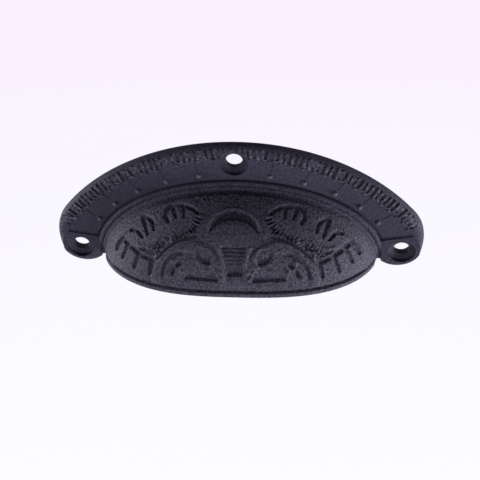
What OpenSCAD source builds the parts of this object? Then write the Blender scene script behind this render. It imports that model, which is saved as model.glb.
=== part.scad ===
// Cup pull for a drawer, cast in iron as one piece: a flat arched flange with two ears,
// a hooded cup open below and behind, and an incised pattern of traditional ornament.
// X runs across the drawer, Y into the drawer front, Z up. The back face lies in Y = 0,
// and the origin is midway between the two ear screws.

/* [Flange] */
// Width across the two ears
flange_w = 100; // [90:1:112]
// Height of the flange's top above the ear screws
flange_top = 35.7; // [32:0.1:42]
// Thickness of the flange
flange_t = 2.7; // [2.4:0.1:4]
// Rounding of the flange's front edge
edge_round = 0.8; // [0.4:0.1:1.2]
// Radius of the shoulder between the top arc and each ear
shoulder_r = 15.4; // [13:0.1:16.5]
// Height of the shoulder's centre above the ear screws
shoulder_z = 3.3; // [2.5:0.1:5]
// Radius of the rounded end of each ear
ear_r = 6.6; // [6:0.1:7.4]
// Depth of the ears below their screws
ear_drop = 5.5; // [5:0.1:6]

/* [Screw holes] */
// Distance of each ear screw from the flange's side
screw_inset = 5.75; // [5.5:0.05:6.5]
// Distance of the top screw from the flange's top
top_screw_inset = 5.4; // [5:0.1:6.5]
// Diameter of the holes
hole_d = 4.4; // [3.5:0.1:5.2]
// Diameter of the countersinks at the front face
sink_d = 7.6; // [6.5:0.1:8.4]
// Angle of the countersinks
sink_angle = 110; // [90:1:115]

/* [Hood] */
// Width of the hood along its lip
hood_w = 76; // [68:0.5:80]
// Height of the hood above its lip
hood_h = 26.2; // [23:0.1:28]
// How far the lip stands out from the back face
hood_p = 18.3; // [15:0.1:24]
// Drop of the lip below the ear screws
lip_drop = 2.75; // [2:0.05:4]
// Thickness of the hood's wall
wall = 2.6; // [2:0.1:3.4]
// Radius of the moulding's outer bead, at the foot of the hood
moulding_r = 0.85; // [0.6:0.05:1.1]
// Radius of the moulding's inner bead, against the hood
inner_moulding_r = 0.95; // [0.7:0.05:1.2]
// Height of the rim along the lip
rim_h = 1.5; // [1:0.1:2.5]
// How far the rim stands proud of the hood
rim_rise = 0.4; // [0.2:0.05:0.7]
// Width of the groove above the rim
rim_groove = 0.7; // [0.4:0.05:1.2]

/* [Ornament] */
// Depth of the incised pattern
relief = 0.6; // [0.3:0.05:0.9]
// Height of the raised lines of the pattern
raised = 0.3; // [0.15:0.05:0.5]
// Tilt of the direction in which the pattern is cut
pattern_tilt = 45; // [40:1:50]
// Width of the fine strokes of the pattern
stroke_w = 0.9; // [0.6:0.05:1.1]
// Number of ticks in the flange's border
tick_count = 74; // [40:2:84]
// Length of the ticks
tick_l = 3.2; // [2:0.1:3.5]
// Width of the ticks
tick_w = 0.75; // [0.5:0.05:0.85]
// Depth of the ticks and lines in the flange
tick_depth = 0.45; // [0.2:0.05:0.7]
// Plain margin between the ticks and the flange's edge
tick_margin = 0.5; // [0.4:0.1:1.2]
// Radius of the small beads on the flange
bead_r = 0.75; // [0.5:0.05:1]
// Distance of the beads' ring from the foot of the hood
bead_gap = 3.7; // [3.2:0.1:4.2]

/* [Hidden] */
iron = [0.17, 0.165, 0.2];

// Overshoot of every cutting tool past the face that it cuts
over = 2;
lip_z = -lip_drop;
ear_x = flange_w / 2 - screw_inset;
top_screw_z = flange_top - top_screw_inset;

// Centres and radii of the three tangent arcs of the flange's outline
shoulder_c = [flange_w / 2 - shoulder_r, shoulder_z];
ear_z = ear_r - ear_drop;
ear_c = [shoulder_c.x + sqrt(pow(shoulder_r - ear_r, 2) - pow(shoulder_z - ear_z, 2)), ear_z];
top_rise = flange_top - shoulder_z;
top_r = (pow(shoulder_c.x, 2) + pow(top_rise, 2) - pow(shoulder_r, 2)) / (2 * (top_rise - shoulder_r));
top_c = [0, flange_top - top_r];
ear_end_angle = -135;
ear_angle = atan2(ear_c.y - shoulder_c.y, ear_c.x - shoulder_c.x);
top_angle = atan2(shoulder_c.y - top_c.y, shoulder_c.x - top_c.x);

// Fineness of the outline, the hood and the moulding
ear_steps = 10;
shoulder_steps = 6;
top_steps = 26;
edge_steps = 3;
hood_sections = 32;
hood_steps = 8;
tip_share = 0.985;
moulding_sections = 36;
bead_steps = 4;

// Powers of the lip's flat-fronted plan and of the hood's rounder foot
lip_power = 2.85;
foot_power = 2;

// Centres of the moulding's two beads, out from the foot of the hood
moulding_gap = 0.65;
inner_moulding_gap = -0.75;

// The ornament is drawn on a grid and stretched to fit the hood
grid_w = 76;
grid_h = 31.5;
pattern_h = hood_p * sin(pattern_tilt) + hood_h * cos(pattern_tilt);
pattern_reach = 2 * (hood_p + hood_h);

// Beads stand at even steps round the arch, either side of the top screw
bead_step = 12.7;
bead_pairs = 5;

// The border of ticks follows the top arc and ends on each shoulder, above the ear line
border_end_angle = 24;
ear_line_angle = 14;
border_inset = tick_margin + tick_l / 2;
border_top = (top_r - border_inset) * (90 - top_angle);
border_turn = (shoulder_r - border_inset) * (top_angle - border_end_angle);
tick_pitch = 2 * (border_top + border_turn) / tick_count;

// Points along an arc; a chain of arcs skips the first point of each that follows another
function arc(c, r, a0, a1, steps, skip = 0) =
    [for (i = [skip:steps]) let (a = a0 + (a1 - a0) * i / steps) c + r * [cos(a), sin(a)]];

function half_outline(inset) = concat(
    arc(ear_c, ear_r - inset, ear_end_angle, ear_angle, ear_steps),
    arc(shoulder_c, shoulder_r - inset, ear_angle, top_angle, shoulder_steps, 1),
    arc(top_c, top_r - inset, top_angle, 90, top_steps, 1));

function mirrored(points) = [for (i = [len(points) - 2:-1:0]) [-points[i].x, points[i].y]];

function outline(inset) = concat(half_outline(inset), mirrored(half_outline(inset)));

// Half-height or half-depth of the hood at x, as a share of its greatest
function swell(x, half, power) = sqrt(1 - pow(min(abs(x) / half, 1), power));

function arch_point(a, gap) =
    [(hood_w / 2 + gap) * cos(a), lip_z + (hood_h + gap) * sin(a)];

// Outward angle of the border at a distance from its middle, measured as radius times degrees
function border_angle(s) =
    s < border_top ? 90 - s / (top_r - border_inset)
        : top_angle - (s - border_top) / (shoulder_r - border_inset);

function border_point(s) =
    let (a = border_angle(s), out = [cos(a), sin(a)])
    s < border_top ? top_c + (top_r - border_inset) * out
        : shoulder_c + (shoulder_r - border_inset) * out;

// Direction of a path at one of its points, and the path moved sideways
function heading(path, i) =
    let (span = path[min(i + 1, len(path) - 1)] - path[max(i - 1, 0)]) span / norm(span);

function beside(path, d) =
    [for (i = [0:len(path) - 1]) let (h = heading(path, i)) path[i] + d * [-h.y, h.x]];

function reversed(path) = [for (i = [len(path) - 1:-1:0]) path[i]];

// Closes a stack of rings with equal numbers of points into one solid
module skin(rings) {
    count = len(rings[0]);
    last = len(rings) - 1;
    sides = [for (i = [0:last - 1], j = [0:count - 1])
        let (k = (j + 1) % count)
        each [[i * count + j, i * count + k, (i + 1) * count + k],
              [i * count + j, (i + 1) * count + k, (i + 1) * count + j]]];
    start = [[for (j = [count - 1:-1:0]) j]];
    end = [[for (j = [0:count - 1]) last * count + j]];
    polyhedron(points = [for (ring = rings) each ring], faces = concat(sides, start, end), convexity = 8);
}

// Flat flange with its front edge rounded over
module flange_plate() {
    straight = flange_t - edge_round;
    levels = concat(
        [for (i = [edge_steps:-1:0]) let (a = 90 * i / edge_steps)
            [straight + edge_round * sin(a), edge_round * (1 - cos(a))]],
        [[0, 0]]);
    skin([for (level = levels) [for (p = outline(level[1])) [p.x, -level[0], p.y]]]);
}

// Quarter-round cup between the foot on the flange and the lip, grown or shrunk all round;
// reach carries it on below the lip and behind the back face
module hood_form(grow, reach = 0) {
    half = hood_w / 2 + grow;
    depth = hood_p + grow;
    height = hood_h + grow;
    function section(x) =
        let (p = depth * swell(x, half, lip_power), h = height * swell(x, half, foot_power))
        concat(
            [for (i = [0:hood_steps]) let (a = 90 * i / hood_steps) [x, -p * cos(a), lip_z + h * sin(a)]],
            reach == 0 ? [[x, 0, lip_z]]
                : [[x, reach, lip_z + h], [x, reach, lip_z - reach], [x, -p, lip_z - reach]]);
    skin([for (i = [0:hood_sections]) section(half * sin(90 * tip_share * (2 * i / hood_sections - 1)))]);
}

// Moulding of two half-round beads side by side, swept along the foot of the hood
module moulding() {
    span = moulding_gap - inner_moulding_gap;
    shift = (pow(moulding_r, 2) - pow(inner_moulding_r, 2)) / (2 * span);
    outer_end = 180 - acos((span / 2 + shift) / moulding_r);
    inner_start = acos((span / 2 - shift) / inner_moulding_r);
    profile = concat(
        arc([moulding_gap, flange_t], moulding_r, 0, outer_end, bead_steps),
        arc([inner_moulding_gap, flange_t], inner_moulding_r, inner_start, 180, bead_steps, 1),
        [[inner_moulding_gap - inner_moulding_r, flange_t / 2], [moulding_gap + moulding_r, flange_t / 2]]);
    skin([for (i = [0:moulding_sections])
        let (a = 180 * i / moulding_sections, foot = arch_point(a, 0), out = [cos(a), sin(a)])
        [for (p = profile) [foot.x + p.x * out.x, -p.y, foot.y + p.x * out.y]]]);
}

// Stroke along a path
module ribbon(path, w = stroke_w) {
    polygon(concat(beside(path, w / 2), reversed(beside(path, -w / 2))));
}

// Stroke along an arc
module bow(c, r, a0, a1, w = stroke_w, steps = 8) {
    ribbon(arc(c, r, a0, a1, steps), w);
}

// Crescent above the middle of the hood
module crescent() {
    difference() {
        translate([0, 17]) circle(r = 6.1, $fn = 28);
        translate([0, 13.3]) circle(r = 7.1, $fn = 28);
        translate([-10, 7]) square([20, 10]);
    }
}

// Reeded panel that narrows towards the lip
module reeded_panel() {
    slots = 6;
    pitch = 1.02;
    for (i = [0:slots - 1]) {
        y = 13.3 - i * pitch;
        w = 3.6 - 0.23 * i;
        translate([-w, y - 0.5]) square([2 * w, 0.5]);
    }
}

// Sunk panels, groove and ovals of one half, beside the reeded panel
module scroll() {
    // Sunk bar above the lip
    polygon([[4.3, 4], [13.6, 4.6], [12, 7.4], [4.9, 6.8]]);
    // Sunk spandrel between the panel and the arch band
    polygon([[6.1, 8.5], [8.4, 8.9], [10, 10.6], [10.3, 12.4], [9.7, 13.4], [6.6, 12.9], [5.6, 10.8]]);
    // Groove inside the arch band, with two ovals inside it
    bow([12.7, 5], 6.8, 5, 85);
    for (oval = [[14.6, 8.6, 62], [16.4, 6.55, 23]])
        translate([oval[0], oval[1]]) rotate(oval[2]) scale([1, 1.9]) circle(r = 0.6, $fn = 8);
    // Outer edge of the arch band
    ribbon([[9.8, 16.1], [12.2, 15.6], [14.6, 14.6], [17.4, 12.9], [19.4, 11.1], [20.9, 9.2]], 0.6);
}

// Comb of short teeth at the end of the hood
module comb() {
    ribbon([[30.4, 15.2], [28.2, 13.4], [25.1, 11.1], [21.6, 9.6]]);
    ribbon([[30.7, 14.8], [32.7, 12.1]], 0.85);
    ribbon([[28.6, 13.6], [30.8, 9.9]], 0.85);
    ribbon([[25.5, 11.2], [27.4, 7.5]], 0.85);
    ribbon([[21.9, 9.6], [23, 5.9]], 0.85);
}

// Three-lobed leaf and the fan beside it
module leaf_and_fan() {
    ribbon([[24, 21.1], [22.5, 20.7], [21.5, 19.4], [21.2, 17.6]]);
    ribbon([[24.3, 20.6], [23.8, 19], [23, 16.4]], 0.8);
    ribbon([[27.8, 17.4], [26.2, 17.7], [24.5, 15.6]]);
    ribbon([[17.2, 19.9], [18.1, 21.2], [17.8, 22.9], [16.5, 24],
        [14.2, 24.2], [12, 23.8], [10.4, 23], [9.3, 22]]);
    ribbon([[16.1, 23.8], [15.2, 20.9]], 0.8);
    ribbon([[13.1, 24], [13, 21.1]], 0.8);
}

// Row of short dashes between the fan and the arch band
module ladder() {
    path = [[9, 21.2], [9.4, 20.1], [9.9, 19.1], [10.5, 18.2], [11.3, 17.4],
        [12.3, 16.7], [13.5, 16.2], [14.8, 15.8], [16.1, 15.4]];
    dash_l = 1.3;
    for (i = [0:len(path) - 1]) {
        h = heading(path, i);
        across = dash_l / 2 * [-h.y, h.x];
        ribbon([path[i] + across, path[i] - across], stroke_w / 2);
    }
}

// All that is sunk in the hood, on the ornament's own grid
module sunk_pattern() {
    crescent();
    reeded_panel();
    // Slot at the top of the small dome above the lip
    ribbon([[-1.7, 6.15], [0, 6.45], [1.7, 6.15]]);
    for (side = [0, 1]) mirror([side, 0]) {
        scroll();
        comb();
        leaf_and_fan();
        ladder();
    }
}

// All that stands proud of the hood: the crescent's rim, ridges beside the reeded panel,
// rays of the dome, the leaf's lower edge and a thin line at the end of the hood
module raised_pattern() {
    bow([0, 17], 6.5, 14, 166, 0.7, 18);
    for (side = [0, 1]) mirror([side, 0]) {
        ribbon([[4.5, 13.9], [3.9, 11.2], [3.3, 9.5], [2.9, 7.6]], 0.7);
        ribbon([[2.6, 5.2], [3.6, 6.8]], 0.5);
        ribbon([[3, 4.4], [4.2, 5.4]], 0.5);
        ribbon([[19.4, 15.5], [21.3, 14.1], [23, 13.4], [24.9, 13.4], [26.6, 14]], 0.7);
        ribbon([[33.6, 12.8], [31, 15.6], [28.6, 17.3]], 0.5);
    }
}

// Carries a flat pattern through the hood in the direction of its cut
module through_hood() {
    translate([0, -hood_p, lip_z]) rotate([90 - pattern_tilt, 0, 0])
        linear_extrude(height = pattern_reach, center = true)
            scale([hood_w / grid_w, pattern_h / grid_h]) children();
}

// Hood with its incised and raised pattern, its rim and the groove above the rim
module carved_hood() {
    groove_z = lip_z + rim_h;
    difference() {
        hood_form(0);
        through_hood() sunk_pattern();
        translate([-flange_w / 2, -hood_p - over, groove_z]) cube([flange_w, hood_p + over, rim_groove]);
    }
    hood_form(-relief);
    intersection() {
        hood_form(rim_rise);
        translate([-flange_w / 2, -hood_p - over, lip_z]) cube([flange_w, hood_p + over, rim_h]);
    }
    intersection() {
        hood_form(raised);
        through_hood() raised_pattern();
    }
}

// Ticks round the border, lines to the beads and a line above each ear, for one half
module flange_lines() {
    for (i = [0:tick_count / 2 - 1]) {
        s = (i + 0.5) * tick_pitch;
        translate(border_point(s)) rotate(border_angle(s)) square([tick_l, tick_w], center = true);
    }
    for (i = [1:bead_pairs]) {
        p = arch_point(90 - bead_step * i, bead_gap);
        out = (p - top_c) / norm(p - top_c);
        ribbon([p + (bead_r + tick_w) * out, top_c + (top_r - tick_margin - tick_l) * out], tick_w / 2);
    }
    foot = arch_point(ear_line_angle, moulding_gap);
    far = border_point(tick_count / 2 * tick_pitch) - [0, tick_l];
    ribbon([foot, far], tick_w);
}

// Flange with its border of ticks, lines and beads
module lined_flange() {
    difference() {
        flange_plate();
        translate([0, -flange_t + tick_depth, 0]) rotate([90, 0, 0])
            linear_extrude(height = tick_depth + over)
                for (side = [0, 1]) mirror([side, 0]) flange_lines();
    }
    for (side = [-1, 1], i = [1:bead_pairs]) {
        p = arch_point(90 + side * bead_step * i, bead_gap);
        translate([p.x, -flange_t, p.y]) sphere(r = bead_r, $fn = 8);
    }
}

// Solid casting, merged into one skin before the cup is hollowed and the holes are drilled
module casting() {
    resize([0, 0, 0]) difference() {
        union() {
            lined_flange();
            carved_hood();
            moulding();
        }
        hood_form(-wall, over);
    }
}

// Countersunk hole for a wood screw, driven in from the front
module screw_hole(x, z) {
    sink_depth = (sink_d - hole_d) / 2 / tan(sink_angle / 2);
    spread = over * tan(sink_angle / 2);
    translate([x, 0, z]) rotate([90, 0, 0]) {
        translate([0, 0, -over]) cylinder(d = hole_d, h = flange_t + 2 * over, $fn = 48);
        translate([0, 0, flange_t - sink_depth])
            cylinder(d1 = hole_d, d2 = sink_d + 2 * spread, h = sink_depth + over, $fn = 48);
    }
}

module cup_pull() {
    color(iron) difference() {
        casting();
        screw_hole(-ear_x, 0);
        screw_hole(ear_x, 0);
        screw_hole(0, top_screw_z);
    }
}

cup_pull();
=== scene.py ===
import math

import bmesh
import bpy
import numpy as np
from mathutils import Matrix, Vector


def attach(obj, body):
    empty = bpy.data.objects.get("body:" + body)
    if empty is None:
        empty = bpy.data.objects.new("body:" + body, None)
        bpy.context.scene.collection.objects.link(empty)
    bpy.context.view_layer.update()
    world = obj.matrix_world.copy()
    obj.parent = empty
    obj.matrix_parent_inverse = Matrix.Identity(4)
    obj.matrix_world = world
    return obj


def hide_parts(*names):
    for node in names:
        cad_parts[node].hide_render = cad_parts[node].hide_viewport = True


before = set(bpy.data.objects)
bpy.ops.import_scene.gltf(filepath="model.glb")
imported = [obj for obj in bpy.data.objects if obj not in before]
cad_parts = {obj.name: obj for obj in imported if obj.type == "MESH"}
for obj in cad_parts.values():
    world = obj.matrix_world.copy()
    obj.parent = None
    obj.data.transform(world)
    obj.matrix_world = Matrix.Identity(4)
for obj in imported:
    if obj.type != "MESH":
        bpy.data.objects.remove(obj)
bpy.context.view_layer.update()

# Sizes in millimetres and angles in degrees, in the part's own frame
MM = 0.001

# Flange: an arc over the top, two shoulders and two ears, each running smoothly into the next
FLANGE_W, FLANGE_TOP, FLANGE_T = 100.0, 35.7, 2.7
SHOULDER_R, SHOULDER_Z = 15.4, 3.3
EAR_R, EAR_DROP = 6.6, 5.5
EAR_Z = EAR_R - EAR_DROP
SHOULDER_C = (FLANGE_W / 2 - SHOULDER_R, SHOULDER_Z)
EAR_C = (SHOULDER_C[0] + math.sqrt((SHOULDER_R - EAR_R) ** 2 - (SHOULDER_Z - EAR_Z) ** 2), EAR_Z)
RISE = FLANGE_TOP - SHOULDER_Z
TOP_R = (SHOULDER_C[0] ** 2 + RISE ** 2 - SHOULDER_R ** 2) / (2 * (RISE - SHOULDER_R))
TOP_C = (0.0, FLANGE_TOP - TOP_R)
EAR_END = -135.0
EAR_ANGLE = math.degrees(math.atan2(EAR_Z - SHOULDER_Z, EAR_C[0] - SHOULDER_C[0]))
TOP_ANGLE = math.degrees(math.atan2(SHOULDER_Z - TOP_C[1], SHOULDER_C[0]))
OUTLINE_ARCS = [
    (EAR_C, EAR_R, EAR_END, EAR_ANGLE, 36),
    (SHOULDER_C, SHOULDER_R, EAR_ANGLE, TOP_ANGLE, 24),
    (TOP_C, TOP_R, TOP_ANGLE, 90, 90),
]
# Edge of the flange: depth in front of the back face, inset along the top, inset at the ears
EDGE_LEVELS = [
    (0.0, 0.2, 0.2), (0.2, 0.0, 0.0), (1.0, 0.0, 0.0), (1.3, 0.06, 0.0),
    (1.6, 0.22, 0.0), (1.88, 0.48, 0.01), (2.12, 0.82, 0.04), (2.34, 1.25, 0.12),
    (2.52, 1.8, 0.25), (2.64, 2.4, 0.42), (FLANGE_T, 3.1, 0.7), (FLANGE_T, 3.4, 1.0),
]
# Angles on the outline's arcs between which the ear's edge turns into the bevel of the top
BEVEL_FROM, BEVEL_FULL = -25, 35

# Ears: pads that lean forward from a dividing groove to the foot
PAD_TOP, PAD_SLOPE = 6.0, 0.075
EAR_T = FLANGE_T + PAD_SLOPE * PAD_TOP
PAD_LEVELS = [
    (1.5, 0.46, 0.3), (1.6, 0.22, 0.0), (1.88, 0.48, 0.0), (2.12, 0.82, 0.0),
    (2.34, 1.25, 0.0), (2.7, 3.1, 0.03), (3.0, 3.3, 0.12), (3.2, 3.5, 0.24),
    (3.4, 3.8, 0.48), (3.6, 4.0, 0.9), (3.75, 4.2, 1.4),
]
PAD_BACK = 1.0
# The pad's border: along the hood's foot, then under the groove, then outside the ear
PAD_FOOT_ANGLES, PAD_FOOT_GAP = [-16, 0, 4, 8, 11], 0.9
PAD_BORDER = [(37.9, 3.9), (42.1, 4.9), (46.75, 5.7), (53.0, 6.9), (53.0, -10.0)]
EAR_GROOVE = [(37.5, 4.0), (42.1, 4.95), (46.75, 5.76)]
EAR_GROOVE_R, EAR_GROOVE_LIFT = 0.62, 0.22

# Screw holes: x, z, the face they are sunk from and the seat of the screw's head
EAR_SCREW_X, TOP_SCREW_Z = 44.25, 30.3
EAR_SEAT, TOP_SEAT = 1.85, 1.15
SCREWS = [
    (-EAR_SCREW_X, 0.0, EAR_T, EAR_SEAT),
    (EAR_SCREW_X, 0.0, EAR_T, EAR_SEAT),
    (0.0, TOP_SCREW_Z, FLANGE_T, TOP_SEAT),
]
HOLE_R, SINK_R = 2.2, 3.8
HOLE_BEHIND, HOLE_SIDES = 1.0, 64
# Radius, and height in front of the seat
SINK_DISH = [(HOLE_R, 0.0), (HOLE_R + 0.65, 0.22), (SINK_R - 0.32, 0.45), (SINK_R - 0.14, 0.58)]
# Radius, and height in front of the face
SINK_WALL = [(SINK_R - 0.06, -0.15), (SINK_R, 0.45), (SINK_R, 1.5)]

# Hood: half its width, its height and its depth at the lip
HOOD_HALF, HOOD_H, HOOD_P = 38.0, 26.2, 18.3
LIP_Z = -2.75
WALL = 2.6
TIP = math.radians(90 * 0.985)
LIP_POWER, FOOT_POWER = 2.85, 2
HOOD_STEPS = 400
# Angles round the hood's section, where the lip, the carved part and the part inside the flange begin
LIP_STEP, CARVED_FROM, CARVED_STEP = 0.42, 7.0, 0.6
BURIED_TURNS = [80.0, 83.0, 86.5, 90.0]
HOLLOW_STEPS, HOLLOW_TURNS, HOLLOW_BEYOND = 97, 33, 2.0

# Moulding along the hood's foot: two beads, with a crease outside them
MOULDING_STEPS, MOULDING_SIDES = 160, 16
OUTER_BEAD_GAP, OUTER_BEAD_R, OUTER_BEAD_END_R, OUTER_BEAD_GROWS = 0.65, 0.85, 0.25, (4, 15)
INNER_BEAD_GAP, INNER_BEAD_R, INNER_BEAD_END_R, INNER_BEAD_GROWS = -0.75, 0.95, 0.5, (0, 9)
INNER_BEAD_LIFT = 0.25
CREASE_GAP, CREASE_FROM, CREASE_R, CREASE_TOP_R = 1.62, 13.5, 0.62, 0.22
CREASE_FADES, CREASE_END_SHARE, CREASE_GROWS = (35, 80), 0.45, (11, 17)

# Border of ticks, dots at their ends, and beads with thin lines
TICK_MARGIN, TICK_L, TICK_W, TICK_DEPTH = 0.4, 3.2, 0.95, 0.36
TICK_LEAN, TICK_Y, TICK_FROM = 18.0, -2.3, 24.0
TICK_COUNT, TICK_SEED = 74, 5
# Shares of a tick's width, depth and length, and how far it may turn, in radians
TICK_LEAST, TICK_MOST, TICK_ASKEW, TICK_SIDES = (0.6, 0.55, 0.68), (1.2, 1.25, 1.1), 0.16, 10
BORDER_SHOULDER_STEPS, BORDER_TOP_STEPS = 20, 160
DOT_GAP, DOT_R, DOT_RISE, DOT_COUNT, DOT_SEED = 0.2, 0.42, 0.45, 37, 8
BEAD_STEP, BEAD_PAIRS, BEAD_GAP = 12.7, 5, 3.7
BEAD_R, BEAD_RISE, BEAD_SEED = 0.78, 0.7, 3
BEAD_LEAST, BEAD_MOST, BEAD_SIDES, BEAD_RINGS = (0.85, 0.8, 0.85), (1.1, 1.1, 1.1), 12, 8
BEAD_LINE_R, BEAD_LINE_NEAR, BEAD_LINE_FAR, LINE_SIDES = 0.15, 0.5, 0.3, 10

# Edges that turn by more than this stay sharp
SHARP_ANGLE = 38


def smooth(a, b, t):
    """0 below a, 1 above b, with an even curve between."""
    k = np.clip((t - a) / (b - a), 0, 1)
    return k * k * (3 - 2 * k)


def on_arc(centre, radius, turn):
    """The point (x, z) at an angle on an arc of the flange's face."""
    a = math.radians(turn)
    return centre[0] + radius * math.cos(a), centre[1] + radius * math.sin(a)


def arc(centre, radius, start, end, steps, skip=0):
    """Points of an arc on the flange's face, as (x, z)."""
    return [on_arc(centre, radius, start + (end - start) * i / steps) for i in range(skip, steps + 1)]


def both_sides(half):
    """A half outline that ends on the middle plane, with its mirror image."""
    return half + [(-x, z) for x, z in half[-2::-1]]


def flange_outline(along_top, at_ears):
    """The flange's outline, drawn in by one inset along the top and by another at the ears."""
    half = []
    for centre, radius, start, end, steps in OUTLINE_ARCS:
        for i in range(1 if half else 0, steps + 1):
            turn = start + (end - start) * i / steps
            share = float(smooth(BEVEL_FROM, BEVEL_FULL, turn))
            inset = at_ears + (along_top - at_ears) * share
            half.append(on_arc(centre, radius - inset, turn))
    return both_sides(half)


def arch_point(a, gap):
    """A point at angle a, in radians, on the arch where the hood meets the back plane, grown by gap."""
    return (HOOD_HALF + gap) * math.cos(a), LIP_Z + (HOOD_H + gap) * math.sin(a)


def solid(name, rings):
    """A closed solid skinned over a stack of rings with equal numbers of points."""
    rings = [np.asarray(ring, float) for ring in rings]
    count, last = len(rings[0]), len(rings) - 1
    points = np.concatenate(rings) * MM
    faces = []
    for i in range(last):
        for j in range(count):
            k = (j + 1) % count
            faces.append((i * count + j, i * count + k, (i + 1) * count + k, (i + 1) * count + j))
    faces.append(tuple(range(count - 1, -1, -1)))
    faces.append(tuple(last * count + j for j in range(count)))
    mesh = bpy.data.meshes.new(name)
    mesh.from_pydata([tuple(p) for p in points], [], faces)
    work = bmesh.new()
    work.from_mesh(mesh)
    bmesh.ops.recalc_face_normals(work, faces=work.faces)
    work.to_mesh(mesh)
    work.free()
    return show(name, mesh)


def show(name, data):
    """An object in the scene for this data."""
    piece = bpy.data.objects.new(name, data)
    bpy.context.scene.collection.objects.link(piece)
    return piece


def plain_mesh(piece, name):
    """The piece's evaluated shape as a plain mesh object; the piece itself goes."""
    bpy.context.view_layer.update()
    seen = piece.evaluated_get(bpy.context.evaluated_depsgraph_get())
    mesh = bpy.data.meshes.new_from_object(seen)
    mesh.name = name
    bpy.data.objects.remove(piece)
    return show(name, mesh)


def join_in(base, tool, operation):
    """Unites the tool with the base, cuts it out or keeps what they share, and takes the tool away."""
    step = base.modifiers.new("step", "BOOLEAN")
    step.operation, step.solver, step.object = operation, "MANIFOLD", tool
    result = plain_mesh(base, base.name)
    bpy.data.objects.remove(tool)
    return result


# Ornament of the hood, drawn in a plane that leans back at 45 degrees: u from the middle, v from the lip.
# A pair that smooth() takes is where a soft step starts and where it is full.
# A stroke is its width, its depth and its taper, and a raised line its width and its height.
STROKE_BED, STROKE_BANK = 0.45, 1.3
LINE_FADE = 0.12
STROKE_DEPTH, FINE_DEPTH = 0.72, 0.62
LEAF = [
    [(24.0, 21.1), (22.5, 20.7), (21.5, 19.4), (21.2, 17.6)],
    [(24.4, 20.8), (23.8, 19.0), (23.0, 16.4)],
    [(27.8, 17.4), (26.2, 17.7), (24.5, 15.6)],
]
LEAF_EDGE = [(19.4, 15.5), (21.3, 14.1), (23.0, 13.4), (24.9, 13.4), (26.6, 14.0)]
COMB = [(30.3, 15.2), (28.2, 13.4), (25.2, 11.1), (21.7, 9.6)]
COMB_TEETH = [
    [(30.9, 14.6), (32.6, 12.2)],
    [(28.8, 13.3), (30.7, 10.0)],
    [(25.6, 11.1), (27.3, 7.5)],
    [(21.9, 9.5), (22.9, 5.9)],
]
END_LINE = [(33.6, 12.8), (31.0, 15.3), (28.6, 17.3)]
COMB_STROKE, COMB_TOOTH = (1.3, STROKE_DEPTH, 0), (1.15, STROKE_DEPTH, 0.2)
LEAF_STROKE, LEAF_EDGE_LINE, END_LINE_SIZE = (1.05, FINE_DEPTH, 0.35), (1.1, 0.32), (0.9, 0.22)
FAN = [
    (17.2, 19.9), (18.1, 21.2), (17.8, 22.9), (16.5, 24.0),
    (14.2, 24.2), (12.0, 23.8), (10.4, 23.0), (9.3, 22.0),
]
FAN_TEETH = [[(16.1, 23.7), (15.2, 20.9)], [(13.1, 23.9), (13.0, 21.1)]]
FAN_STROKE, FAN_TOOTH = (1.05, FINE_DEPTH, 0.15), (1.0, 0.6, 0.4)
LADDER, LADDER_BARS = [(8.9, 21.2), (9.8, 19.2), (11.0, 17.6), (12.8, 16.3), (16.2, 15.3)], 10
LADDER_EDGE, LADDER_RISE, LADDER_BED, LADDER_SHARPNESS = (0.6, 0.9), 0.75, 0.25, 1.5
ARCH_EDGE = [
    (9.6, 16.2), (12.2, 15.7), (14.6, 14.7), (17.4, 12.9),
    (19.4, 11.1), (21.0, 9.2), (22.2, 6.4),
]
ARCH_EDGE_STROKE = (0.7, 0.42, 0)
ARCH_C, ARCH_GROOVE_R, ARCH_GROOVE_DEPTH = (12.7, 4.95), 6.8, 0.6
ARCH_GROOVE_BANK, ARCH_GROOVE_STARTS, ARCH_GROOVE_ENDS = (0.2, 0.75), (-2, 6), (78, 92)
ARCH_BAND_C, ARCH_BAND_STRETCH, ARCH_BAND_RISE = (12.4, 5.4), 0.97, 0.34
ARCH_BAND_OUTER, ARCH_BAND_INNER, ARCH_BAND_FOOT = (9.3, 10.0), (0, 1), (2.6, 4.2)
OVALS, OVAL_W, OVAL_L, OVAL_DEPTH = [(14.65, 8.6), (16.4, 6.55)], 0.62, 1.15, 0.85
OVAL_BANK, STUD_EDGE = (0.5, 1.15), (0.2, 0.9)
STUDS, STUD_RISE = [(17.6, 5.3), (13.9, 6.9), (15.9, 9.4)], 0.42
CRESCENT_V, CRESCENT_R, CRESCENT_STRETCH = 17.0, 6.3, 1.03
CRESCENT_DEPTH, CRESCENT_FALL, CRESCENT_FALLS = 0.6, 0.5, (0.0, 2.0)
CRESCENT_INNER_R, CRESCENT_INNER_BANK, CRESCENT_OUTER_BANK = 7.1, (-0.15, 0.35), (-0.5, 0.1)
CRESCENT_FOOT, CRESCENT_RIM, CRESCENT_RIM_W, CRESCENT_RIM_FOOT = (16.6, 17.6), 0.4, 0.6, (17.2, 18.6)
DOME_V, DOME_EDGE, DOME_FOOT, DOME_RISE = 13.3, (5.6, 7.0), (12.8, 14.6), 0.25
PANEL_TOP, PANEL_HALF, PANEL_TAPER, PANEL_SIDE = 13.6, 3.7, 0.23, 0.35
PANEL_LOWER_BANK, PANEL_UPPER_BANK = (6.9, 7.4), (13.5, 13.8)
REED_PITCH, REED_TOP, REED_BED, REED_DEPTH = 1.02, 13.1, 0.15, 0.1
REED_GAIN, REED_DEEPENS = 0.26, (8.0, 13.0)
PANEL_RIDGE = [(4.4, 13.9), (3.5, 11.2), (2.9, 9.5), (2.5, 7.6)]
PANEL_FOOT = [(-1.7, 6.15), (0, 6.45), (1.7, 6.15)]
PANEL_RIDGE_SIZE, PANEL_FOOT_STROKE = (1.5, 0.65), (0.95, 0.75, 0)
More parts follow.
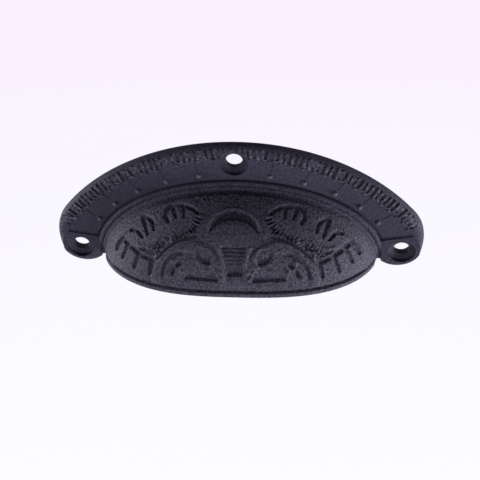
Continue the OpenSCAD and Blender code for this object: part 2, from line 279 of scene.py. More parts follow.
LIP_DOME_V, LIP_DOME_RISE, LIP_DOME_STRETCH = 3.4, 0.28, 1.1
LIP_DOME_EDGE, LIP_DOME_FOOT, LIP_RAY = (1.9, 3.3), (2.4, 3.2), (0.85, 0.5)
LIP_RAYS = [[(2.6, 5.2), (3.9, 7.3)], [(3.0, 4.4), (4.7, 5.8)], [(3.2, 3.6), (4.9, 4.2)]]
SPANDREL = [(6.1, 8.5), (8.4, 8.9), (10.0, 10.6), (10.3, 12.4), (9.7, 13.4), (6.6, 12.9), (5.6, 10.8)]
SPANDREL_FOOT_U, SPANDREL_FOOT_V = [5.6, 6.1, 8.4, 10.0, 10.4], [9.4, 8.5, 8.9, 10.6, 11.6]
SPANDREL_DEPTH = 0.75
BAR = [(4.3, 4.0), (13.6, 4.6), (12.0, 7.4), (4.9, 6.8)]
BAR_SLOPE, BAR_DEPTH, BAR_FALL = 0.065, 0.8, 0.72
SUNK_RISES, SUNK_BANK, SUNK_BANK_OUTSIDE = (0.2, 3.0), 0.3, 0.12
GROUNDS = [
    [(19.6, 15.0), (21.5, 13.7), (23.0, 13.0), (25.0, 13.0), (27.0, 13.3),
     (25.0, 11.6), (21.8, 10.1), (20.4, 10.6), (17.9, 13.0), (16.6, 14.2)],
    [(9.6, 16.6), (9.2, 19.6), (8.4, 22.0), (9.4, 21.2), (10.6, 19.4),
     (12.2, 17.6), (14.2, 16.5), (18.6, 15.8), (16.4, 14.4), (12.4, 16.2)],
]
GROUND_DEPTH, GROUND_GRAIN, GROUND_PITCH, GROUND_GRAIN_R = 0.5, 0.6, 1.0, 0.5
GROUND_BANK = (-0.6, 0.1)
BAND_FIELD, BAND_DEPTH, BAND_GRAIN = [(0, 22), (13, 29)], 0.12, 0.2
BAND_PITCH, BAND_GRAIN_R = 0.85, 0.38
BAND_LOWER, BAND_UPPER, BAND_ENDS = (23.2, 25.2), (26.8, 28.4), (8.0, 12.5)
FOOT_CREASE_Y, FOOT_CREASE_DEPTH = -4.4, 0.5
FOOT_CREASE_BANK, FOOT_CREASE_FADES = (0.35, 0.95), (14.0, 30.0)
RIM_H, RIM_RISE, RIM_ROUND, RIM_CLEAR = 1.8, 0.4, 0.3, 0.5
RIM_FOOT_SHARE, RIM_FOOT_ROUND = 0.45, 0.4
RIM_GROOVE, RIM_GROOVE_DEPTH, RIM_GROOVE_WALL, RIM_GROOVE_BED = 0.55, 0.42, 0.12, 0.25
RIM_GROOVE_ENDS, CARVING_ENDS = (33.2, 35.2), (36.4, 37.4)
GRAIN_SEED, GRAIN_ROWS, GRAIN_STRAY = 11, 0.87, 0.28


def wave(t):
    """A wave between 0 and 1, with a crest at each whole number."""
    return 0.5 + 0.5 * np.cos(t * 2 * math.pi)


def from_path(u, v, path):
    """Distance of each point from a path, and how far along the path it lies, from 0 to 1."""
    path = np.asarray(path, float)
    lengths = np.hypot(*np.diff(path, axis=0).T)
    starts = np.concatenate([[0], np.cumsum(lengths)])
    near, along = np.full(u.shape, 1e9), np.zeros(u.shape)
    for (a, b), length, start in zip(zip(path[:-1], path[1:]), lengths, starts):
        step = (b - a) / length
        t = np.clip((u - a[0]) * step[0] + (v - a[1]) * step[1], 0, length)
        d = np.hypot(u - a[0] - t * step[0], v - a[1] - t * step[1])
        along = np.where(d < near, (start + t) / starts[-1], along)
        near = np.minimum(near, d)
    return near, along


def from_edge(u, v, corners):
    """Distance of each point from a polygon's edge, below 0 inside it."""
    near, _ = from_path(u, v, corners + corners[:1])
    inside = np.zeros(u.shape, bool)
    for (ax, ay), (bx, by) in zip(corners, corners[1:] + corners[:1]):
        crosses = (ay > v) != (by > v)
        slope = (bx - ax) / (by - ay) if by != ay else 0
        inside ^= crosses & (u < ax + (v - ay) * slope)
    return np.where(inside, -near, near)


def lower(h, k, depth):
    """Lowers the skin to a depth where k is 1, and leaves it where k is 0."""
    return h * (1 - k) - depth * k


def cut(h, u, v, path, width, depth, taper):
    """Cuts a round-bottomed stroke that thins towards its end."""
    d, t = from_path(u, v, path)
    half = width / 2 * (1 - taper * t ** 2)
    return lower(h, 1 - smooth(STROKE_BED * half, STROKE_BANK * half, d), depth)


def ridge(h, u, v, path, width, height):
    """Raises a round-topped line."""
    d, t = from_path(u, v, path)
    ends = smooth(0, LINE_FADE, t) * (1 - smooth(1 - LINE_FADE, 1, t))
    return h + height * ends * (1 - smooth(0, width / 2, d))


def sink(h, u, v, corners, depth):
    """Sinks a panel to a depth that may differ from place to place."""
    return lower(h, 1 - smooth(-SUNK_BANK, SUNK_BANK_OUTSIDE, from_edge(u, v, corners)), depth)


def grains(u, v, corners, pitch, size):
    """Round grains scattered over a panel on an uneven grid, from 0 to 1."""
    pick = np.random.default_rng(GRAIN_SEED)
    corners = np.asarray(corners)
    low, high = corners.min(0) - pitch, corners.max(0) + pitch
    h = np.zeros(u.shape)
    for row, cv in enumerate(np.arange(low[1], high[1], pitch * GRAIN_ROWS)):
        for cu in np.arange(low[0], high[0], pitch) + (row % 2) * pitch / 2:
            du, dv, grow = pick.uniform(-GRAIN_STRAY, GRAIN_STRAY, 3)
            r = size * (1 + grow)
            d = np.hypot(u - cu - du * pitch, v - cv - dv * pitch)
            h = np.maximum(h, np.sqrt(np.clip(1 - (d / r) ** 2, 0, 1)) * (1 + grow))
    return h


def arch_band(h, u, v):
    """The band of the arch, a little proud, with its soft outer edge."""
    from_middle = np.hypot((u - ARCH_BAND_C[0]) * ARCH_BAND_STRETCH, v - ARCH_BAND_C[1])
    from_groove = np.hypot(u - ARCH_C[0], v - ARCH_C[1]) - ARCH_GROOVE_R
    band = (1 - smooth(*ARCH_BAND_OUTER, from_middle)) * smooth(*ARCH_BAND_INNER, from_groove)
    return h + ARCH_BAND_RISE * (band * smooth(*ARCH_BAND_FOOT, v))


def grainy_grounds(h, u, v):
    """The sunk grounds of sand-like grains, and the band of grains under the moulding."""
    for corners in GROUNDS:
        k = 1 - smooth(*GROUND_BANK, from_edge(u, v, corners))
        skin = -GROUND_DEPTH + GROUND_GRAIN * grains(u, v, corners, GROUND_PITCH, GROUND_GRAIN_R)
        h = h * (1 - k) + k * skin
    band = smooth(*BAND_LOWER, v) * (1 - smooth(*BAND_UPPER, v)) * (1 - smooth(*BAND_ENDS, u))
    return h + band * (-BAND_DEPTH + BAND_GRAIN * grains(u, v, BAND_FIELD, BAND_PITCH, BAND_GRAIN_R))


def crescent_and_dome(h, u, v):
    """The dome in the middle, and the crescent over it, which deepens outwards under a raised rim."""
    outer = np.hypot(u / CRESCENT_STRETCH, v - CRESCENT_V) - CRESCENT_R
    from_dome = np.hypot(u, v - DOME_V)
    inner = from_dome - CRESCENT_INNER_R
    k = smooth(*CRESCENT_INNER_BANK, inner) * (1 - smooth(*CRESCENT_OUTER_BANK, outer))
    k = k * smooth(*CRESCENT_FOOT, v)
    h = lower(h, k, CRESCENT_DEPTH + CRESCENT_FALL * smooth(*CRESCENT_FALLS, inner))
    h = h + CRESCENT_RIM * (1 - smooth(0, CRESCENT_RIM_W, np.abs(outer))) * smooth(*CRESCENT_RIM_FOOT, v)
    return h + DOME_RISE * (1 - smooth(*DOME_EDGE, from_dome)) * smooth(*DOME_FOOT, v)


def reeded_panel(h, u, v):
    """The tapered panel of reeds between two ridges, and the half dome at the lip with its rays."""
    half = PANEL_HALF - PANEL_TAPER * (PANEL_TOP - v)
    panel = (1 - smooth(half - PANEL_SIDE, half, u)) * smooth(*PANEL_LOWER_BANK, v)
    panel = panel * (1 - smooth(*PANEL_UPPER_BANK, v))
    reeds = wave((v - REED_TOP) / REED_PITCH)
    h = h - panel * (REED_BED + (REED_DEPTH + REED_GAIN * smooth(*REED_DEEPENS, v)) * reeds ** 2)
    h = ridge(h, u, v, PANEL_RIDGE, *PANEL_RIDGE_SIZE)
    h = cut(h, u, v, PANEL_FOOT, *PANEL_FOOT_STROKE)
    from_lip_dome = np.hypot(u, (v - LIP_DOME_V) * LIP_DOME_STRETCH)
    h = h + LIP_DOME_RISE * (1 - smooth(*LIP_DOME_EDGE, from_lip_dome)) * smooth(*LIP_DOME_FOOT, v)
    for ray in LIP_RAYS:
        h = ridge(h, u, v, ray, *LIP_RAY)
    return h


def bars_and_spandrels(h, u, v):
    """The sunk bars over the lip and the spandrels, deep at the lower edge and shallow at the upper."""
    bar_foot = BAR[0][1] + BAR_SLOPE * (u - BAR[0][0])
    h = sink(h, u, v, BAR, BAR_DEPTH - BAR_FALL * smooth(*SUNK_RISES, v - bar_foot))
    spandrel_foot = np.interp(u, SPANDREL_FOOT_U, SPANDREL_FOOT_V)
    return sink(h, u, v, SPANDREL, SPANDREL_DEPTH * (1 - smooth(*SUNK_RISES, v - spandrel_foot)))


def arch_groove(h, u, v):
    """The groove of the arch with its ovals and studs, and the edge of its band."""
    turn = np.degrees(np.arctan2(v - ARCH_C[1], u - ARCH_C[0]))
    off_line = np.abs(np.hypot(u - ARCH_C[0], v - ARCH_C[1]) - ARCH_GROOVE_R)
    k = (1 - smooth(*ARCH_GROOVE_BANK, off_line)) * smooth(*ARCH_GROOVE_STARTS, turn)
    k = k * (1 - smooth(*ARCH_GROOVE_ENDS, turn))
    h = lower(h, k, ARCH_GROOVE_DEPTH)
    for cu, cv in OVALS:
        lean = math.atan2(cv - ARCH_C[1], cu - ARCH_C[0])
        out = (u - cu) * math.cos(lean) + (v - cv) * math.sin(lean)
        side = -(u - cu) * math.sin(lean) + (v - cv) * math.cos(lean)
        h = lower(h, 1 - smooth(*OVAL_BANK, np.hypot(out / OVAL_W, side / OVAL_L)), OVAL_DEPTH)
    for cu, cv in STUDS:
        h = h + STUD_RISE * (1 - smooth(*STUD_EDGE, np.hypot(u - cu, v - cv)))
    return cut(h, u, v, ARCH_EDGE, *ARCH_EDGE_STROKE)


def strokes(h, u, v):
    """The ladder of short bars, the comb, the leaf and the fan, with the thin lines beside them."""
    d, t = from_path(u, v, LADDER)
    bars = wave(t * LADDER_BARS)
    h = h + (1 - smooth(*LADDER_EDGE, d)) * (LADDER_RISE * bars ** LADDER_SHARPNESS - LADDER_BED)
    for path in COMB_TEETH:
        h = cut(h, u, v, path, *COMB_TOOTH)
    h = cut(h, u, v, COMB, *COMB_STROKE)
    h = ridge(h, u, v, END_LINE, *END_LINE_SIZE)
    h = ridge(h, u, v, LEAF_EDGE, *LEAF_EDGE_LINE)
    for path in LEAF:
        h = cut(h, u, v, path, *LEAF_STROKE)
    h = cut(h, u, v, FAN, *FAN_STROKE)
    for path in FAN_TEETH:
        h = cut(h, u, v, path, *FAN_TOOTH)
    return h


def foot_crease(h, u, y):
    """The crease between the hood and the moulding, which fades towards the sides."""
    crease = 1 - smooth(*FOOT_CREASE_BANK, np.abs(y - FOOT_CREASE_Y))
    return h - FOOT_CREASE_DEPTH * (crease * (1 - smooth(*FOOT_CREASE_FADES, u)))


def lip_rim(h, u, z):
    """The rim along the lip, with the groove above it."""
    t = z - LIP_Z
    top = RIM_H + RIM_GROOVE
    h = h * smooth(top, top + RIM_CLEAR, t)
    groove = smooth(RIM_H - RIM_GROOVE_WALL, RIM_H + RIM_GROOVE_WALL, t)
    groove = groove * (1 - smooth(RIM_H + RIM_GROOVE_BED, top, t))
    h = h - RIM_GROOVE_DEPTH * groove * (1 - smooth(*RIM_GROOVE_ENDS, u))
    foot = RIM_FOOT_SHARE + (1 - RIM_FOOT_SHARE) * smooth(0, RIM_FOOT_ROUND, t)
    return h + RIM_RISE * (1 - smooth(RIM_H - RIM_ROUND, RIM_H, t)) * foot


def hood_relief(x, y, z):
    """How far the hood's skin stands out from its plain form, in millimetres."""
    u = np.abs(x)
    v = (y + HOOD_P) * math.sqrt(0.5) + (z - LIP_Z) * math.sqrt(0.5)
    h = np.zeros(u.shape)
    motifs = [arch_band, grainy_grounds, crescent_and_dome, reeded_panel]
    motifs += [bars_and_spandrels, arch_groove, strokes]
    for motif in motifs:
        h = motif(h, u, v)
    h = lip_rim(foot_crease(h, u, y), u, z)
    return h * (1 - smooth(*CARVING_ENDS, u))


def swell(x, half, power):
    """Share of the hood's greatest depth or height that it has at x."""
    return np.sqrt(1 - np.minimum(np.abs(x) / half, 1) ** power)


def hood_turns():
    """Angles of the points round the hood's section: close at the lip, even above, few in the flange."""
    at_lip = np.arange(0, CARVED_FROM, LIP_STEP)
    carved = np.arange(CARVED_FROM, BURIED_TURNS[0], CARVED_STEP)
    return np.radians(np.concatenate([at_lip, carved, BURIED_TURNS]))


def carved_hood():
    """The quarter-round hood with its carving."""
    x = HOOD_HALF * np.sin(np.linspace(-TIP, TIP, HOOD_STEPS + 1))
    x, a = np.meshgrid(x, hood_turns(), indexing="ij")
    p = HOOD_P * swell(x, HOOD_HALF, LIP_POWER)
    s = HOOD_H * swell(x, HOOD_HALF, FOOT_POWER)
    grid = np.stack([x, -p * np.cos(a), LIP_Z + s * np.sin(a)], axis=-1)
    across, up = np.gradient(grid, axis=0), np.gradient(grid, axis=1)
    normal = np.cross(across, up)
    normal /= np.linalg.norm(normal, axis=-1, keepdims=True)
    # None may point back into the cup
    normal *= np.where(normal[:, :, 1:2] > 0.2, -1, 1)
    raised = grid + normal * hood_relief(grid[..., 0], grid[..., 1], grid[..., 2])[..., None]
    raised[:, 0, 2] = LIP_Z
    raised[:, -1, 1] = 0
    back = np.stack([x[:, 0], np.zeros(HOOD_STEPS + 1), np.full(HOOD_STEPS + 1, LIP_Z)], axis=-1)
    return solid("hood", np.concatenate([raised, back[:, None]], axis=1))


def hood_hollow():
    """What is taken out of the hood: its form drawn in by the wall, carried on below and behind."""
    half, depth, height = HOOD_HALF - WALL, HOOD_P - WALL, HOOD_H - WALL
    below = LIP_Z - HOLLOW_BEYOND
    rings = []
    for x in half * np.sin(np.linspace(-TIP, TIP, HOLLOW_STEPS)):
        p, s = depth * swell(x, half, LIP_POWER), height * swell(x, half, FOOT_POWER)
        turns = np.linspace(0, math.pi / 2, HOLLOW_TURNS)
        ring = [(x, -p * math.cos(a), LIP_Z + s * math.sin(a)) for a in turns]
        rings.append(ring + [(x, HOLLOW_BEYOND, LIP_Z + s), (x, HOLLOW_BEYOND, below), (x, -p, below)])
    return solid("hollow", rings)


def plate(name, levels):
    """A plate in the flange's outline, with these levels of its edge."""
    return solid(name, [[(x, -y, z) for x, z in flange_outline(top, ears)] for y, top, ears in levels])


def ear_pad(side):
    """The pad of one ear: its face leans forward from the dividing groove to the foot of the ear."""
    corners = [arch_point(math.radians(a), PAD_FOOT_GAP) for a in PAD_FOOT_ANGLES] + PAD_BORDER
    behind = [(side * x, -PAD_BACK, z) for x, z in corners]
    face = [(side * x, -FLANGE_T - PAD_SLOPE * (PAD_TOP - z), z) for x, z in corners]
    return join_in(plate("pad", PAD_LEVELS), solid("ear_side", [behind, face]), "INTERSECT")


def round_turns(sides):
    """Angles of the corners of a round section, in radians."""
    return np.linspace(0, 2 * math.pi, sides + 1)[:-1]


def moulding(name, gap, y, radius, end=0):
    """A round bar swept along the hood's foot; its radius depends on how near its end is."""
    rings = []
    for turn in np.linspace(end, 180 - end, MOULDING_STEPS + 1):
        a, r = math.radians(turn), radius(min(turn, 180 - turn))
        cx, cz = arch_point(a, gap)
        nx, nz = math.cos(a), math.sin(a)
        rings.append([(cx + r * math.cos(b) * nx, y - r * math.sin(b), cz + r * math.cos(b) * nz)
                      for b in round_turns(MOULDING_SIDES)])
    return solid(name, rings)


def outer_bead_r(turn):
    """Radius of the moulding's outer bead, which sinks away over the ear."""
    return OUTER_BEAD_END_R + (OUTER_BEAD_R - OUTER_BEAD_END_R) * float(smooth(*OUTER_BEAD_GROWS, turn))


def inner_bead_r(turn):
    """Radius of the moulding's inner bead."""
    return INNER_BEAD_END_R + (INNER_BEAD_R - INNER_BEAD_END_R) * float(smooth(*INNER_BEAD_GROWS, turn))


def crease_r(turn):
    """Radius of the crease outside the moulding, deep at the sides and faint at the top."""
    radius = CREASE_R - (CREASE_R - CREASE_TOP_R) * float(smooth(*CREASE_FADES, turn))
    return radius * (CREASE_END_SHARE + (1 - CREASE_END_SHARE) * float(smooth(*CREASE_GROWS, turn)))


def screw_hole(x, z, front, seat):
    """A countersunk hole: a steep wall at the rim, then a dished seat round the hole."""
    profile = [(HOLE_R, HOLE_BEHIND)]
    profile += [(r, -seat - height) for r, height in SINK_DISH]
    profile += [(r, -front - height) for r, height in SINK_WALL]
    turns = round_turns(HOLE_SIDES)
    rings = [[(x + r * math.cos(a), y, z + r * math.sin(a)) for a in turns] for r, y in profile]
    return solid("hole", rings)


def line_object(name, lines, y=-FLANGE_T):
    """A curve object with a straight-sided spline for each line of points on the flange's face."""
    curve = bpy.data.curves.new(name, "CURVE")
    curve.dimensions = "3D"
    for points in lines:
        spline = curve.splines.new("POLY")
        spline.points.add(len(points) - 1)
        for place, (x, z) in zip(spline.points, points):
            place.co = (x * MM, y * MM, z * MM, 1)
    return show(name, curve)


def new_tree(name, inputs):
    """A node tree with a geometry input, these further inputs, a material input and a geometry output."""
    tree = bpy.data.node_groups.new(name, "GeometryNodeTree")
    tree.interface.new_socket("Geometry", in_out="INPUT", socket_type="NodeSocketGeometry")
    for label, kind in inputs + [("Material", "NodeSocketMaterial")]:
        tree.interface.new_socket(label, in_out="INPUT", socket_type=kind)
    tree.interface.new_socket("Geometry", in_out="OUTPUT", socket_type="NodeSocketGeometry")
    start = tree.nodes.new("NodeGroupInput")
    end = tree.nodes.new("NodeGroupOutput")
    return tree, start, end


def finish_tree(tree, start, end, instances):
    """Makes the instances real, gives them the material input and sends them out."""
    real = tree.nodes.new("GeometryNodeRealizeInstances")
    coat = tree.nodes.new("GeometryNodeSetMaterial")
    tree.links.new(instances, real.inputs["Geometry"])
    tree.links.new(real.outputs["Geometry"], coat.inputs["Geometry"])
    tree.links.new(start.outputs["Material"], coat.inputs["Material"])
    tree.links.new(coat.outputs["Geometry"], end.inputs["Geometry"])


def varied(tree, start, size, least, most):
    """A size that differs from copy to copy, between these shares of it."""
    vary = tree.nodes.new("FunctionNodeRandomValue")
    vary.data_type = "FLOAT_VECTOR"
    vary.inputs["Min"].default_value = least
    vary.inputs["Max"].default_value = most
    tree.links.new(start.outputs["Seed"], vary.inputs["Seed"])
    scale = tree.nodes.new("ShaderNodeVectorMath")
    scale.operation = "MULTIPLY"
    tree.links.new(size.outputs["Vector"], scale.inputs[0])
    tree.links.new(vary.outputs["Value"], scale.inputs[1])
    return scale.outputs["Vector"]


def grow_by_nodes(piece, tree, values, name):
    """Runs a node tree on a piece with these input values and returns the plain mesh."""
    step = piece.modifiers.new(tree.name, "NODES")
    step.node_group = tree
    for item in tree.interface.items_tree:
        if item.in_out == "INPUT" and item.name in values:
            step[item.identifier] = values[item.name]
    return plain_mesh(piece, name)


def tick_tree():
    """Round-bottomed bars set across a line at even steps, each a little different."""
    tree, start, end = new_tree("tick_border", [
        ("Count", "NodeSocketInt"), ("Length", "NodeSocketFloat"), ("Width", "NodeSocketFloat"),
        ("Depth", "NodeSocketFloat"), ("Lean", "NodeSocketFloat"), ("Seed", "NodeSocketInt")])
    add, link = tree.nodes.new, tree.links.new
    resample = add("GeometryNodeResampleCurve")
    link(start.outputs["Geometry"], resample.inputs["Curve"])
    link(start.outputs["Count"], resample.inputs["Count"])
    tangent = add("GeometryNodeInputTangent")
    turn = add("FunctionNodeAlignRotationToVector")
    turn.axis, turn.pivot_axis = "X", "Y"
    link(tangent.outputs["Tangent"], turn.inputs["Vector"])
    bar = add("GeometryNodeMeshCylinder")
    bar.inputs["Vertices"].default_value = TICK_SIDES
    bar.inputs["Radius"].default_value = 0.5
    bar.inputs["Depth"].default_value = 1
    size = add("ShaderNodeCombineXYZ")
    deep = add("ShaderNodeMath")
    deep.operation = "MULTIPLY"
    deep.inputs[1].default_value = 2
    link(start.outputs["Width"], size.inputs["X"])
    link(start.outputs["Depth"], deep.inputs[0])
    link(deep.outputs[0], size.inputs["Y"])
    link(start.outputs["Length"], size.inputs["Z"])
    place = add("GeometryNodeInstanceOnPoints")
    link(resample.outputs["Curve"], place.inputs["Points"])
    link(bar.outputs["Mesh"], place.inputs["Instance"])
    link(turn.outputs["Rotation"], place.inputs["Rotation"])
    link(varied(tree, start, size, TICK_LEAST, TICK_MOST), place.inputs["Scale"])
    lean = add("FunctionNodeEulerToRotation")
    lean_by = add("ShaderNodeCombineXYZ")
    askew = add("FunctionNodeRandomValue")
    askew.inputs[2].default_value = -TICK_ASKEW
    askew.inputs[3].default_value = TICK_ASKEW
    link(start.outputs["Seed"], askew.inputs["Seed"])
    link(start.outputs["Lean"], lean_by.inputs["X"])
    link(askew.outputs[1], lean_by.inputs["Y"])
    link(lean_by.outputs["Vector"], lean.inputs["Euler"])
    tip = add("GeometryNodeRotateInstances")
    link(place.outputs["Instances"], tip.inputs["Instances"])
    link(lean.outputs["Rotation"], tip.inputs["Rotation"])
    finish_tree(tree, start, end, tip.outputs["Instances"])
    return tree


def bead_tree():
    """Small round beads set on a line at even steps, or on each of its points when the count is 0."""
    tree, start, end = new_tree("bead_row", [
        ("Count", "NodeSocketInt"), ("Radius", "NodeSocketFloat"), ("Rise", "NodeSocketFloat"),
        ("Seed", "NodeSocketInt")])
    add, link = tree.nodes.new, tree.links.new
    resample = add("GeometryNodeResampleCurve")
    link(start.outputs["Geometry"], resample.inputs["Curve"])
    link(start.outputs["Count"], resample.inputs["Count"])
    bead = add("GeometryNodeMeshUVSphere")
    bead.inputs["Segments"].default_value = BEAD_SIDES
    bead.inputs["Rings"].default_value = BEAD_RINGS
    bead.inputs["Radius"].default_value = 1
    size = add("ShaderNodeCombineXYZ")
    link(start.outputs["Radius"], size.inputs["X"])
    link(start.outputs["Rise"], size.inputs["Y"])
    link(start.outputs["Radius"], size.inputs["Z"])
    use_points = add("GeometryNodeSwitch")
    use_points.input_type = "GEOMETRY"
    many = add("FunctionNodeCompare")
    many.data_type, many.operation = "INT", "GREATER_THAN"
    link(start.outputs["Count"], many.inputs["A"])
    link(many.outputs["Result"], use_points.inputs["Switch"])
    link(start.outputs["Geometry"], use_points.inputs["False"])
    link(resample.outputs["Curve"], use_points.inputs["True"])
    place = add("GeometryNodeInstanceOnPoints")
    link(use_points.outputs["Output"], place.inputs["Points"])
    link(bead.outputs["Mesh"], place.inputs["Instance"])
    link(varied(tree, start, size, BEAD_LEAST, BEAD_MOST), place.inputs["Scale"])
    finish_tree(tree, start, end, place.outputs["Instances"])
    return tree


def line_tree():
    """Round-bottomed grooves along lines."""
    tree, start, end = new_tree("incised_line", [("Radius", "NodeSocketFloat")])
    add, link = tree.nodes.new, tree.links.new
    ring = add("GeometryNodeCurvePrimitiveCircle")
    ring.inputs["Resolution"].default_value = LINE_SIDES
    link(start.outputs["Radius"], ring.inputs["Radius"])
    sweep = add("GeometryNodeCurveToMesh")
    sweep.inputs["Fill Caps"].default_value = True
    link(start.outputs["Geometry"], sweep.inputs["Curve"])
    link(ring.outputs["Curve"], sweep.inputs["Profile Curve"])
    finish_tree(tree, start, end, sweep.outputs["Mesh"])
    return tree


def border_line(inset):
    """The line of the border, inset from the flange's edge, from ear to ear."""
    return both_sides(
        arc(SHOULDER_C, SHOULDER_R - inset, TICK_FROM, TOP_ANGLE, BORDER_SHOULDER_STEPS)
        + arc(TOP_C, TOP_R - inset, TOP_ANGLE, 90, BORDER_TOP_STEPS, 1))


def bead_points():
    """Places of the beads, either side of the top screw."""
    steps = range(1, BEAD_PAIRS + 1)
    turns = [math.radians(90 + side * BEAD_STEP * i) for side in (-1, 1) for i in steps]
    return [arch_point(a, BEAD_GAP) for a in turns]


def bead_lines():
    """Thin lines from the border to the beads."""
    r = TOP_R - TICK_MARGIN - TICK_L - BEAD_LINE_FAR
    lines = []
    for x, z in bead_points():
        out = Vector((x - TOP_C[0], z - TOP_C[1])).normalized()
        near = BEAD_R + BEAD_LINE_NEAR
        lines.append([(x + out.x * near, z + out.y * near), (TOP_C[0] + r * out.x, TOP_C[1] + r * out.y)])
    return lines


def ear_lines():
    """The groove that divides each ear from the border."""
    return [[(side * x, z) for x, z in EAR_GROOVE] for side in (-1, 1)]


def tick_bars(coat):
    """The bars that are cut out of the border."""
    border = line_object("border", [border_line(TICK_MARGIN + TICK_L / 2)], TICK_Y)
    return grow_by_nodes(border, tick_tree(), {
        "Count": TICK_COUNT, "Length": TICK_L * MM, "Width": TICK_W * MM, "Depth": TICK_DEPTH * MM,
        "Lean": math.radians(TICK_LEAN), "Seed": TICK_SEED, "Material": coat}, "bars")


def build_casting(coat):
    """The whole casting as one closed mesh."""
    beads, lines = bead_tree(), line_tree()
    casting = join_in(plate("pull_casting", EDGE_LEVELS), tick_bars(coat), "DIFFERENCE")
    grooves = grow_by_nodes(line_object("bead_lines", bead_lines()), lines, {
        "Radius": BEAD_LINE_R * MM, "Material": coat}, "grooves")
    casting = join_in(casting, grooves, "DIFFERENCE")
    for side in (-1, 1):
        casting = join_in(casting, ear_pad(side), "UNION")
    grooves = line_object("ear_lines", ear_lines(), -FLANGE_T - EAR_GROOVE_LIFT)
    grooves = grow_by_nodes(grooves, lines, {"Radius": EAR_GROOVE_R * MM, "Material": coat}, "grooves")
    casting = join_in(casting, grooves, "DIFFERENCE")
    dots = grow_by_nodes(line_object("dots", [border_line(TICK_MARGIN + TICK_L + DOT_GAP)]), beads, {
        "Count": DOT_COUNT, "Radius": DOT_R * MM, "Rise": DOT_RISE * MM, "Seed": DOT_SEED,
        "Material": coat}, "dots")
    casting = join_in(casting, dots, "UNION")
    row = grow_by_nodes(line_object("row", [bead_points()]), beads, {
        "Count": 0, "Radius": BEAD_R * MM, "Rise": BEAD_RISE * MM, "Seed": BEAD_SEED,
        "Material": coat}, "row")
    casting = join_in(casting, row, "UNION")
    crease = moulding("crease", CREASE_GAP, -FLANGE_T, crease_r, CREASE_FROM)
    casting = join_in(casting, crease, "DIFFERENCE")
    outer = moulding("outer_bead", OUTER_BEAD_GAP, -FLANGE_T, outer_bead_r)
    casting = join_in(casting, outer, "UNION")
    inner = moulding("inner_bead", INNER_BEAD_GAP, -FLANGE_T - INNER_BEAD_LIFT, inner_bead_r)
    casting = join_in(casting, inner, "UNION")
    casting = join_in(casting, carved_hood(), "UNION")
    casting = join_in(casting, hood_hollow(), "DIFFERENCE")
    for x, z, front, seat in SCREWS:
        casting = join_in(casting, screw_hole(x, z, front, seat), "DIFFERENCE")
    return casting


# Coat: linear colours, and sizes of its grain as noise scales
PIT_COLOUR = (0.008, 0.0074, 0.0115, 1)
FLANGE_SAND, HOOD_SAND = (0.094, 0.085, 0.145, 1), (0.135, 0.125, 0.19, 1)
# Colour of the rubbed flecks on the border, and of the painted highlight on the tops of the beads and dots
RUBBED_AND_HIGHLIGHT_COLOUR = (0.15, 0.14, 0.195, 1)
SAND_SCALE, PATCH_SCALE, FLECK_SCALE = 1800, 160, 1250
SAND_DETAIL, PATCH_DETAIL, FLECK_DETAIL, SAND_COARSENESS = 2, 4, 1, 0.6
SAND_LOW, SAND_HIGH = 0.28, 0.72
FLECK_LOW, FLECK_HIGH = 0.48, 0.68
ROUGH_LOW, ROUGH_HIGH, SHEEN = 0.42, 0.62, 0.1
SAND_BUMP = 0.3
# Share of the hood's grain that the flange shows
FLANGE_GRAIN = 0.5
# Heights in front of the flange's face between which the grain, the pale sand and the painted highlight on
# the bead tops begin
GRAIN_GROWS, PALE_GROWS, BEAD_HIGHLIGHT_TOPS = (0.1, 0.9), (0.7, 1.7), (0.2, 0.7)
# Where the rubbed flecks of the border start and end, in from the edge and up from the ears, and where the
# painted highlight on the beads starts, up from the ears
RUB_INNER, RUB_OUTER, RUB_UP, BEAD_HIGHLIGHT_UP = (4.0, 3.4), (0.5, 1.1), (7.5, 9.5), (5.5, 6.5)
# The beads with the painted highlight stand outside this growth of the hood's foot
PAST_MOULDING = (1.06, 1.072)


def ramp(nodes, link, value, low, high):
    """A soft step of a value from 0 at low to 1 at high."""
    step = nodes.new("ShaderNodeMapRange")
    step.interpolation_type = "SMOOTHSTEP"
    step.inputs["From Min"].default_value = low
    step.inputs["From Max"].default_value = high
    link(value, step.inputs["Value"])
    return step.outputs["Result"]


def combine(nodes, link, operation, values):
    """Several values put together, one after the other, by an operation of this kind."""
    result = values[0]
    for value in values[1:]:
        step = nodes.new("ShaderNodeMath")
        step.operation = operation
        link(result, step.inputs[0])
        link(value, step.inputs[1])
        result = step.outputs["Value"]
    return result


def noise(nodes, link, place, scale, detail):
    """A noise pattern fixed to the piece."""
    pattern = nodes.new("ShaderNodeTexNoise")
    pattern.inputs["Scale"].default_value = scale
    pattern.inputs["Detail"].default_value = detail
    link(place, pattern.inputs["Vector"])
    return pattern


def colour_mix(nodes, first=None, second=None):
    """A mix of two colours; a colour that isn't given is linked later."""
    mix = nodes.new("ShaderNodeMix")
    mix.data_type = "RGBA"
    if first:
        mix.inputs["A"].default_value = first
    if second:
        mix.inputs["B"].default_value = second
    return mix


def reach(nodes, link, place, centre, scale):
    """How far a point on the flange's face lies from a centre, with x and z scaled."""
    flat = nodes.new("ShaderNodeVectorMath")
    flat.operation = "MULTIPLY"
    flat.inputs[1].default_value = (scale[0], 0, scale[1])
    link(place, flat.inputs[0])
    apart = nodes.new("ShaderNodeVectorMath")
    apart.operation = "DISTANCE"
    apart.inputs[1].default_value = (centre[0] * MM * scale[0], 0, centre[1] * MM * scale[1])
    link(flat.outputs["Vector"], apart.inputs[0])
    return apart.outputs["Value"]


def in_front(nodes, link, apart, start, end):
    """A soft step from 0 to 1 between two heights in front of the flange's face."""
    return ramp(nodes, link, apart.outputs["Y"], (-FLANGE_T - start) * MM, (-FLANGE_T - end) * MM)


